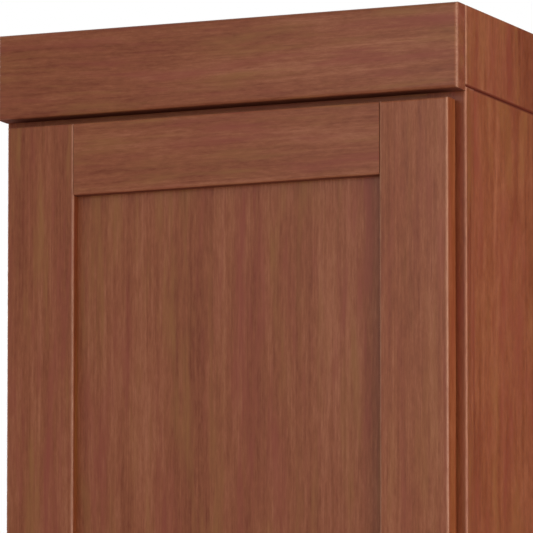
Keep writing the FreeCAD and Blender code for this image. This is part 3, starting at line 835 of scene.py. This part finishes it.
class CABINET_OT_stage(bpy.types.Operator):
    """Sets up the camera, the floor, the sky, the lamps and the dark card"""
    bl_idname = "cabinet.stage"
    bl_label = "Stage"

    def execute(self, context):
        stage = context.scene.cabinet_stage
        context.scene.view_settings.view_transform = "Standard"
        self.camera(context.scene, stage)
        self.sky(context.scene, stage)
        self.floor(context.scene, stage)
        for name, (place, side) in LAMPS.items():
            self.lamp(context.scene, f"{name}_lamp", place, side, getattr(stage, name))
        self.dark_card(context.scene)
        return {"FINISHED"}

    @staticmethod
    def camera(scene, stage):
        data = bpy.data.cameras.new("photo_camera")
        data.sensor_width = SENSOR_MM
        data.lens = stage.focal_pixels/PHOTO_PIXELS*SENSOR_MM
        data.clip_end = CLIP_END
        eye = bpy.data.objects.new("photo_camera", data)
        level = math.cos(stage.pitch)
        ahead = Vector((-math.sin(stage.yaw)*level, math.cos(stage.yaw)*level, math.sin(stage.pitch)))
        eye.location = stage.eye
        eye.rotation_euler = ahead.to_track_quat("-Z", "Y").to_euler()
        scene.collection.objects.link(eye)
        scene.camera = eye

    @staticmethod
    def seen(tree):
        """One for rays from the camera, a mirror or glass, and zero for the rays that carry light."""
        path = make(tree, "ShaderNodeLightPath").outputs
        shown = arithmetic(tree, "MAXIMUM", path["Is Camera Ray"], path["Is Glossy Ray"])
        return arithmetic(tree, "MAXIMUM", shown, path["Is Transmission Ray"])

    def sky(self, scene, stage):
        """An even light that is a little stronger from the right, and white to the eye."""
        world = bpy.data.worlds.new("studio")
        world.use_nodes = True
        scene.world = world
        tree = world.node_tree
        tree.nodes.clear()
        way = make(tree, "ShaderNodeTexCoord").outputs["Generated"]
        strength = arithmetic(tree, "MULTIPLY_ADD", split(tree, way)["X"], stage.lean, stage.ambient)
        light = make(tree, "ShaderNodeBackground", {"Color": grey(1), "Strength": strength})
        white = make(tree, "ShaderNodeBackground", {"Color": grey(1), "Strength": 1.0})
        shown = self.seen(tree)
        both = make(tree, "ShaderNodeMixShader", {0: shown, 1: light.outputs[0], 2: white.outputs[0]})
        make(tree, "ShaderNodeOutputWorld", {"Surface": both.outputs[0]})

    @staticmethod
    def stage_sheet(scene, name, corners, material):
        """One four-cornered face that is no part of the cabinet."""
        mesh = bpy.data.meshes.new(name)
        mesh.from_pydata(corners, [], [(0, 1, 2, 3)])
        mesh.materials.append(material)
        sheet = bpy.data.objects.new(name, mesh)
        scene.collection.objects.link(sheet)
        return sheet

    def floor(self, scene, stage):
        """A wide floor that is white to the eye far away and keeps the cabinet's shadow near it."""
        material, tree, output = blank_material("floor_paint")
        away = make(tree, "ShaderNodeVectorMath", {0: object_place(tree)}, operation="LENGTH")
        fade = remap(tree, away.outputs["Value"], FLOOR_FADE)
        shown = self.seen(tree)
        paint = make(tree, "ShaderNodeBsdfDiffuse", {"Color": grey(NEAR_PAINT)})
        glow = make(tree, "ShaderNodeEmission",
                    {"Color": grey(1), "Strength": arithmetic(tree, "MULTIPLY", shown, NEAR_GLOW)})
        near = make(tree, "ShaderNodeAddShader", {0: paint.outputs[0], 1: glow.outputs[0]})
        pale = make(tree, "ShaderNodeBsdfDiffuse", {"Color": grey(FAR_PAINT)})
        white = make(tree, "ShaderNodeEmission", {"Color": grey(1), "Strength": 1.0})
        far = make(tree, "ShaderNodeMixShader", {0: shown, 1: pale.outputs[0], 2: white.outputs[0]})
        both = make(tree, "ShaderNodeMixShader", {0: fade, 1: near.outputs[0], 2: far.outputs[0]})
        tree.links.new(both.outputs[0], output.inputs["Surface"])
        half = stage.floor_span/2
        corners = [(-half, -half, 0), (half, -half, 0), (half, half, 0), (-half, half, 0)]
        self.stage_sheet(scene, "floor", corners, material)

    def dark_card(self, scene):
        """A dark card behind the right side that only reflections meet. It keeps the side's colour deep."""
        material, tree, output = blank_material("card_cloth")
        cloth = make(tree, "ShaderNodeBsdfDiffuse", {"Color": grey(CARD_CLOTH)})
        tree.links.new(cloth.outputs[0], output.inputs["Surface"])
        first, second = CARD_FOOT
        corners = [(*first, 0), (*second, 0), (*second, CARD_HEIGHT), (*first, CARD_HEIGHT)]
        card = self.stage_sheet(scene, "dark_card", corners, material)
        card.visible_camera = False
        card.visible_diffuse = False
        card.visible_shadow = False

    @staticmethod
    def lamp(scene, name, place, side, watts):
        """A square soft lamp that looks at the cabinet's upper half."""
        data = bpy.data.lights.new(name, "AREA")
        data.size = side
        data.energy = watts
        lamp = bpy.data.objects.new(name, data)
        lamp.location = place
        lamp.rotation_euler = (LAMP_AIM - Vector(place)).to_track_quat("-Z", "Y").to_euler()
        lamp.visible_camera = False
        scene.collection.objects.link(lamp)


class CABINET_OT_stained_boards(bpy.types.Operator):
    """Stains the case sides, face frame, riser and doors, each board with a figure of its own"""
    bl_idname = "cabinet.stained_boards"
    bl_label = "Stained boards"

    def execute(self, context):
        finish = context.scene.cabinet_finish
        for seed, name in enumerate(UPRIGHT_STAINED, FIRST_UPRIGHT_FIGURE):
            dress(name, stained_board(name, Z, seed, finish))
        for seed, name in enumerate(LEVEL_STAINED, FIRST_LEVEL_FIGURE):
            dress(name, stained_board(name, X, seed, finish))
        return {"FINISHED"}


class CABINET_OT_pale_boards(bpy.types.Operator):
    """Finishes the boards inside the case with veneer and leaves those behind it and in the riser plain"""
    bl_idname = "cabinet.pale_boards"
    bl_label = "Pale boards"

    def execute(self, context):
        finish = context.scene.cabinet_finish
        veneer = (finish.veneer_dark, finish.veneer, finish.veneer_rough)
        plain = (finish.plain_dark, finish.plain, finish.plain_rough)
        groups = ((LEVEL_VENEER, X, veneer), (UPRIGHT_VENEER, Z, veneer),
                  (LEVEL_PLAIN, X, plain), (UPRIGHT_PLAIN, Z, plain))
        seed = FIRST_PALE_FIGURE
        for names, axis, look in groups:
            for name in names:
                dress(name, pale_board(name, axis, seed, *look))
                seed += 1
        return {"FINISHED"}


class CABINET_OT_hinges(bpy.types.Operator):
    """Plates the hinge leaves and pins, and sets their screws"""
    bl_idname = "cabinet.hinges"
    bl_label = "Hinges"

    def execute(self, context):
        finish = context.scene.cabinet_finish
        hardware = context.scene.cabinet_hardware
        plate = satin_metal("hinge_plate", finish.nickel, finish.hinge_rough)
        zinc = screw_plate(finish)
        head = pan_head(hardware.screw_radius, hardware.screw_height)
        for name in DOORS:
            for node in HINGE_NODES:
                dress(f"{name}_{node}", plate)
            heights = hinge_screw_heights(name, hardware)
            frame_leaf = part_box(f"{name}_hinge_frame_leaves")[1]
            middle = (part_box("frame_left_stile")[0].y + frame_leaf.y)/2
            places = [(frame_leaf.x, middle, z) for z in heights]
            add_piece(f"{name}_hinge_frame_screws", copies(head, "right", places), zinc,
                      "cabinet")
            door_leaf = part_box(f"{name}_hinge_door_leaves")[1]
            leaf_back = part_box(f"{name}_door_hinge_stile")[1].y + hardware.leaf_thickness
            places = [(door_leaf.x - hardware.leaf_edge, leaf_back, z) for z in heights]
            add_piece(f"{name}_hinge_door_screws", copies(head, "back", places), zinc,
                      f"{name}_door")
        return {"FINISHED"}


class CABINET_OT_knobs(bpy.types.Operator):
    """Turns the two knobs and sets the screws that hold them"""
    bl_idname = "cabinet.knobs"
    bl_label = "Knobs"

    def execute(self, context):
        finish = context.scene.cabinet_finish
        hardware = context.scene.cabinet_hardware
        nickel = satin_metal("knob_plate", finish.nickel, finish.knob_rough)
        zinc = screw_plate(finish)
        knob = turned(knob_profile(), KNOB_SIDES)
        head = pan_head(hardware.knob_screw_radius, hardware.knob_screw_height)
        for name in DOORS:
            low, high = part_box(f"{name}_knob")
            middle = (low + high)/2
            add_piece(f"{name}_turned_knob", copies(knob, "front", [(middle.x, high.y, middle.z)]), nickel,
                      f"{name}_door", [f"{name}_knob"])
            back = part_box(f"{name}_door_knob_stile")[1].y
            add_piece(f"{name}_knob_screw", copies(head, "back", [(middle.x, back, middle.z)]), zinc,
                      f"{name}_door")
        return {"FINISHED"}


class CABINET_OT_bumpers(bpy.types.Operator):
    """Sticks two soft bumpers on the back of each door, at the knob side"""
    bl_idname = "cabinet.bumpers"
    bl_label = "Bumpers"

    def execute(self, context):
        hardware = context.scene.cabinet_hardware
        plastic = soft_plastic("bumper_plastic", context.scene.cabinet_finish.bumper)
        bumper = turned(bumper_profile(hardware.bumper_radius, hardware.bumper_height), BUMPER_SIDES)
        for name in DOORS:
            low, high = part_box(f"{name}_door_knob_stile")
            heights = (low.z + hardware.bumper_inset, high.z - hardware.bumper_inset)
            places = [(high.x - hardware.bumper_inset, high.y, z) for z in heights]
            add_piece(f"{name}_door_bumpers", copies(bumper, "back", places), plastic,
                      f"{name}_door")
        return {"FINISHED"}


class CABINET_OT_shelf_pins(bpy.types.Operator):
    """Turns the shelf pins, each with a collar against the case side and a rounded end"""
    bl_idname = "cabinet.shelf_pins"
    bl_label = "Shelf pins"

    def execute(self, context):
        finish = context.scene.cabinet_finish
        hardware = context.scene.cabinet_hardware
        nickel = satin_metal("pin_plate", finish.nickel, finish.pin_rough)
        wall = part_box("right_side_panel")[0].x
        for shelf in LOOSE_SHELVES:
            low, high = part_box(f"{shelf}_pins")
            pin = turned(pin_profile(hardware, high.x - wall), PIN_SIDES)
            rows = (low.y + hardware.pin_radius, high.y - hardware.pin_radius)
            level = (low.z + high.z)/2
            grids = copies(pin, "right", [(low.x, y, level) for y in rows])
            grids += copies(pin, "left", [(high.x, y, level) for y in rows])
            add_piece(f"{shelf}_turned_pins", grids, nickel, "cabinet", [f"{shelf}_pins"])
        return {"FINISHED"}


STEPS = (CABINET_OT_stage, CABINET_OT_stained_boards, CABINET_OT_pale_boards, CABINET_OT_hinges,
         CABINET_OT_knobs, CABINET_OT_bumpers, CABINET_OT_shelf_pins)


class CABINET_PT_panel(bpy.types.Panel):
    """Lists the steps that dress the cabinet"""
    bl_idname = "CABINET_PT_panel"
    bl_label = "Linen Cabinet"
    bl_space_type = "VIEW_3D"
    bl_region_type = "UI"
    bl_category = "Cabinet"

    def draw(self, context):
        for step in STEPS:
            self.layout.operator(step.bl_idname)


GROUPS = {
    "cabinet_finish": CabinetFinish,
    "cabinet_hardware": CabinetHardware,
    "cabinet_stage": CabinetStage,
}
CLASSES = (*GROUPS.values(), *STEPS, CABINET_PT_panel)


def register():
    for item in CLASSES:
        bpy.utils.register_class(item)
    for name, group in GROUPS.items():
        setattr(bpy.types.Scene, name, PointerProperty(type=group))


def unregister():
    for name in GROUPS:
        delattr(bpy.types.Scene, name)
    for item in reversed(CLASSES):
        bpy.utils.unregister_class(item)


def main():
    register()
    bpy.ops.cabinet.stage()
    bpy.ops.cabinet.stained_boards()
    bpy.ops.cabinet.pale_boards()
    bpy.ops.cabinet.hinges()
    bpy.ops.cabinet.knobs()
    bpy.ops.cabinet.bumpers()
    bpy.ops.cabinet.shelf_pins()


if __name__ == "__main__":
    main()
